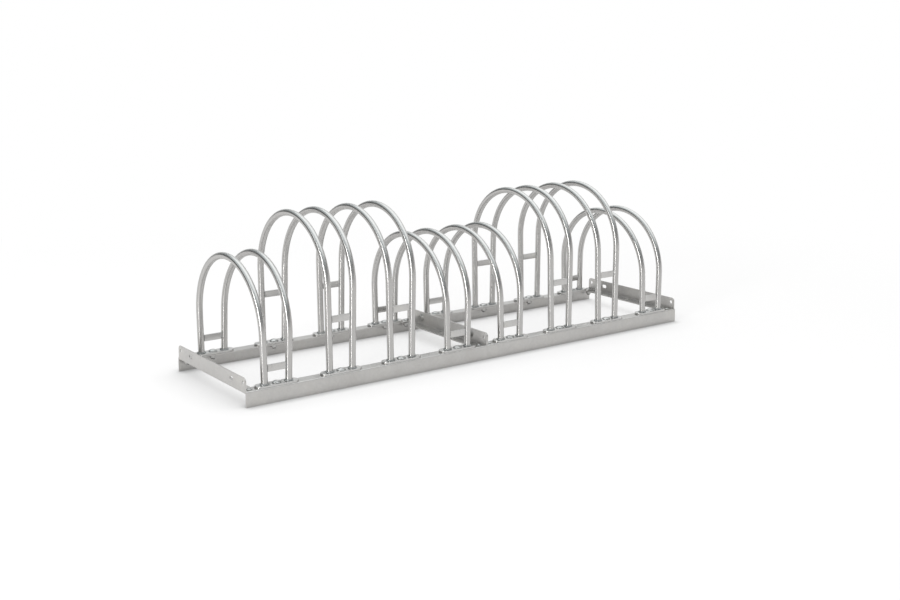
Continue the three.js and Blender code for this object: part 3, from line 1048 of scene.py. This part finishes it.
class RACK_OT_welds(bpy.types.Operator):
    """Makes the weld beads at the hoops' feet and at the spacers' ends"""

    bl_idname = "rack.make_welds"
    bl_label = "Welds"

    def execute(self, context):
        sizes = context.scene.rack_fixings
        radius = context.scene.rack_hoops.diameter / 2
        plate_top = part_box(nodes_named("foot_plate_")[0])[1].z
        # Radians of phase for each metre of x and y, so that the beads' ripples differ
        ring_x, ring_y, line_x = 37.0, 11.0, 29
        for number in pair_numbers():
            beads = []
            for name, way in zip(hoops_of(number), (1, -1)):
                hoop_low, hoop_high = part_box(name)
                foot, slope = lean_of(name, radius)
                for y in (hoop_low.y + radius, hoop_high.y - radius):
                    phase = ring_x * foot + ring_y * y
                    beads.append(ring_bead((foot, y, plate_top), radius, sizes.foot_bead, phase))
                for side in ("front", "back"):
                    low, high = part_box(f"spacer_{side}_{number}")
                    seat = way * math.sqrt(radius**2 - (high.y - low.y) ** 2 / 4)
                    bottom_x, top_x = (foot + slope * (z - hoop_low.z) + seat for z in (low.z, high.z))
                    for y in (low.y, high.y):
                        ends = (bottom_x, y, low.z), (top_x, y, high.z)
                        beads.append(line_bead(*ends, sizes.spacer_bead, line_x * foot))
            place_piece(f"welds_{number}", joined(beads), "weld zinc")
        return {"FINISHED"}


class RACK_OT_stage(bpy.types.Operator):
    """Makes the floor, the light and the camera"""

    bl_idname = "rack.make_stage"
    bl_label = "Stage"

    def execute(self, context):
        sizes = context.scene.rack_stage
        make_floor(sizes)
        make_world(sizes)
        make_lamps(sizes)
        make_camera(sizes)
        context.scene.view_settings.view_transform = "Standard"
        return {"FINISHED"}


def seen_directly(add):
    """1 for rays from the camera and for those that metal or glass sends on, 0 for soft light."""
    path = add("ShaderNodeLightPath").outputs
    either = worked_out(add, "MAXIMUM", path["Is Camera Ray"], path["Is Glossy Ray"])
    return worked_out(add, "MAXIMUM", either, path["Is Transmission Ray"])


def shut_in(add, reach, least):
    """Painted shade: how much darker the floor is painted where the rack shuts it in: least - 1 there, 0 where
    it is open.
    """
    open_share = add("ShaderNodeAmbientOcclusion", {"Distance": reach}, samples=8).outputs["AO"]
    return ranged(add, open_share, 0.0, 1.0, least - 1, 0.0)


def make_floor(sizes):
    """Plain floor: near the rack it shows its light and shadow, and further off it is an even white.

    A dark rim of painted shade lies round all that stands on it, and a wider and softer painted shade lies at
    the rack's left and front.
    """
    half = sizes.floor_size / 2
    corners = [(-half, -half, 0), (half, -half, 0), (half, half, 0), (-half, half, 0)]
    mesh = bpy.data.meshes.new("floor")
    mesh.from_pydata(corners, [], [(0, 1, 2, 3)])
    floor = bpy.data.objects.new("floor", mesh)
    bpy.context.scene.collection.objects.link(floor)
    material = bpy.data.materials.new("floor")
    add = emptied(material)
    where = add("ShaderNodeTexCoord").outputs["Object"]
    away = add("ShaderNodeVectorMath", {0: where}, operation="LENGTH").outputs["Value"]
    far = ranged(add, away, sizes.near_floor, sizes.far_floor, 0.0, 1.0, "SMOOTHSTEP")
    even_share = ranged(add, far, 0.0, 1.0, sizes.floor_lift, 1.0)
    white = worked_out(add, "MULTIPLY", even_share, seen_directly(add))
    rim = shut_in(add, sizes.contact_reach, sizes.contact_tone)
    shade = shut_in(add, sizes.shade_reach, sizes.shade_tone)
    # The painted shade grows over a band inside the rack's left end and over one inside its front
    axes = add("ShaderNodeSeparateXYZ", {"Vector": where}).outputs
    left_end, front = CAD_BOX[0][0], CAD_BOX[0][1]
    left_band, front_band = (0.15, 0.03), (0.15, 0.04)
    at_left, at_front = (
        ranged(add, axes[axis], edge + band[0], edge + band[1], 0.0, 1.0, "SMOOTHSTEP")
        for axis, edge, band in (("X", left_end, left_band), ("Y", front, front_band))
    )
    shaded = worked_out(add, "MAXIMUM", at_left, at_front)
    painted_side_shade = worked_out(add, "MULTIPLY_ADD", shade, shaded, 1.0)
    under = worked_out(add, "ADD", rim, 1.0)
    # Painted shade: the rim and the soft shade darken both the floor's colour and its glow
    painted_floor_shade = worked_out(add, "MULTIPLY", under, painted_side_shade)
    tone = add("ShaderNodeVectorMath", {0: sizes.floor_colour, "Scale": painted_floor_shade}, operation="SCALE")
    near = add("ShaderNodeBsdfDiffuse", {"Color": tone.outputs["Vector"]})
    even = add("ShaderNodeEmission", {"Color": WHITE, "Strength": painted_floor_shade})
    mixed = add("ShaderNodeMixShader", {"Fac": white, 1: near.outputs["BSDF"], 2: even.outputs["Emission"]})
    add("ShaderNodeOutputMaterial", {"Surface": mixed.outputs["Shader"]})
    mesh.materials.append(material)


def rising(add, height, start, end, change):
    """From 0 to the change as the height, a sine, goes from the start's angle in degrees to the end's."""
    low, high = (math.sin(math.radians(degrees)) for degrees in (start, end))
    return ranged(add, height, low, high, 0.0, change, "SMOOTHSTEP")


def make_world(sizes):
    """Even fill light. Seen directly it is white at the horizon, below darker walls and a pale ceiling.

    The white reaches higher behind the rack, where a studio's backdrop hangs, and at the rack's right, where
    a white screen stands.
    """
    world = bpy.data.worlds.new("studio")
    bpy.context.scene.world = world
    add = emptied(world)
    direction = add("ShaderNodeTexCoord").outputs["Generated"]
    rise = add("ShaderNodeSeparateXYZ", {"Vector": direction}).outputs["Z"]
    height = rise
    # Direction, cosines from it where the white begins and is full, and how much higher it reaches there
    backdrop = (sizes.azimuth, 0.6, 0.93, 0.3)
    screen = (sizes.screen_way, 0.35, 0.75, 0.15)
    for turn, start, end, top in (backdrop, screen):
        way = (math.sin(turn), math.cos(turn), 0.0)
        facing = add("ShaderNodeVectorMath", {0: direction, 1: way}, operation="DOT_PRODUCT").outputs["Value"]
        white = ranged(add, facing, start, end, 0.0, top, "SMOOTHSTEP")
        height = worked_out(add, "SUBTRACT", height, white)
    wall = rising(add, height, start=2, end=9, change=sizes.walls - 1)
    ceiling = rising(add, height, start=23, end=42, change=sizes.ceiling - sizes.walls)
    above = worked_out(add, "ADD", wall, ceiling)
    studio = worked_out(add, "ADD", above, 1.0)
    seen = seen_directly(add)
    strength = ranged(add, seen, 0.0, 1.0, sizes.fill, studio)
    overhead = rising(add, rise, start=12, end=35, change=1.0)
    tinted = worked_out(add, "MULTIPLY", overhead, seen)
    # A colour mix has its colours in the sockets 6 and 7 and its result in the socket 2
    tint = add("ShaderNodeMix", {0: tinted, 6: WHITE, 7: (*sizes.ceiling_tint, 1.0)}, data_type="RGBA")
    light = add("ShaderNodeBackground", {"Color": tint.outputs[2], "Strength": strength})
    add("ShaderNodeOutputWorld", {"Surface": light.outputs["Background"]})


def aimed(lamp, at, target):
    """Puts the lamp into the scene at a place, facing the target."""
    lamp.location = at
    lamp.rotation_euler = (Vector(target) - Vector(at)).to_track_quat("-Z", "Y").to_euler()
    bpy.context.scene.collection.objects.link(lamp)


def make_lamps(sizes):
    """One very broad soft light above the rack and a little to its right, and one tall strip at its left."""
    key = bpy.data.lights.new("key", "SUN")
    key.energy = sizes.key
    key.angle = sizes.key_spread
    aimed(bpy.data.objects.new("key", key), sizes.key_place, (0, 0, 0))
    strip = bpy.data.lights.new("strip", "AREA")
    strip.shape = "RECTANGLE"
    strip.size, strip.size_y = sizes.strip_width, sizes.strip_height
    strip.energy = sizes.strip
    aimed(bpy.data.objects.new("strip", strip), sizes.strip_place, sizes.strip_aim)


def make_camera(sizes):
    """Camera at aim - forward * distance, forward being (sin a cos e, cos a cos e, -sin e)."""
    a, e = sizes.azimuth, sizes.elevation
    forward = Vector((math.sin(a) * math.cos(e), math.cos(a) * math.cos(e), -math.sin(e)))
    data = bpy.data.cameras.new("camera")
    data.sensor_width = SENSOR_WIDTH
    data.lens = sizes.lens
    data.shift_y = -sizes.shift
    camera = bpy.data.objects.new("camera", data)
    camera.location = Vector(sizes.aim) - forward * sizes.distance
    camera.rotation_euler = forward.to_track_quat("-Z", "Y").to_euler()
    bpy.context.scene.collection.objects.link(camera)
    bpy.context.scene.camera = camera


MAKERS = (
    RACK_OT_rails,
    RACK_OT_cross_members,
    RACK_OT_hoops,
    RACK_OT_spacers,
    RACK_OT_foot_plates,
    RACK_OT_welds,
    RACK_OT_carriage_bolts,
    RACK_OT_joining_bolts,
    RACK_OT_stage,
)
SETTINGS = {
    "rack_hoops": HoopSizes,
    "rack_frame": FrameSizes,
    "rack_fixings": FixingSizes,
    "rack_stage": StageSizes,
}


class RACK_PT_panel(bpy.types.Panel):
    """Lists the rack's sizes and the operators that make its pieces"""

    bl_idname = "RACK_PT_panel"
    bl_label = "Bike Rack"
    bl_space_type = "VIEW_3D"
    bl_region_type = "UI"
    bl_category = "Bike Rack"

    def draw(self, context):
        for name in SETTINGS:
            group = getattr(context.scene, name)
            box = self.layout.box()
            for key in group.__annotations__:
                box.prop(group, key)
        for maker in MAKERS:
            self.layout.operator(maker.bl_idname)


def register():
    for group in SETTINGS.values():
        bpy.utils.register_class(group)
    for name, group in SETTINGS.items():
        setattr(bpy.types.Scene, name, PointerProperty(type=group))
    for maker in MAKERS:
        bpy.utils.register_class(maker)
    bpy.utils.register_class(RACK_PT_panel)


def unregister():
    bpy.utils.unregister_class(RACK_PT_panel)
    for maker in reversed(MAKERS):
        bpy.utils.unregister_class(maker)
    for name, group in SETTINGS.items():
        delattr(bpy.types.Scene, name)
        bpy.utils.unregister_class(group)


def main():
    register()
    bpy.ops.rack.make_rails()
    bpy.ops.rack.make_cross_members()
    bpy.ops.rack.make_hoops()
    bpy.ops.rack.make_spacers()
    bpy.ops.rack.make_foot_plates()
    bpy.ops.rack.make_welds()
    bpy.ops.rack.make_carriage_bolts()
    bpy.ops.rack.make_joining_bolts()
    bpy.ops.rack.make_stage()


if __name__ == "__main__":
    main()
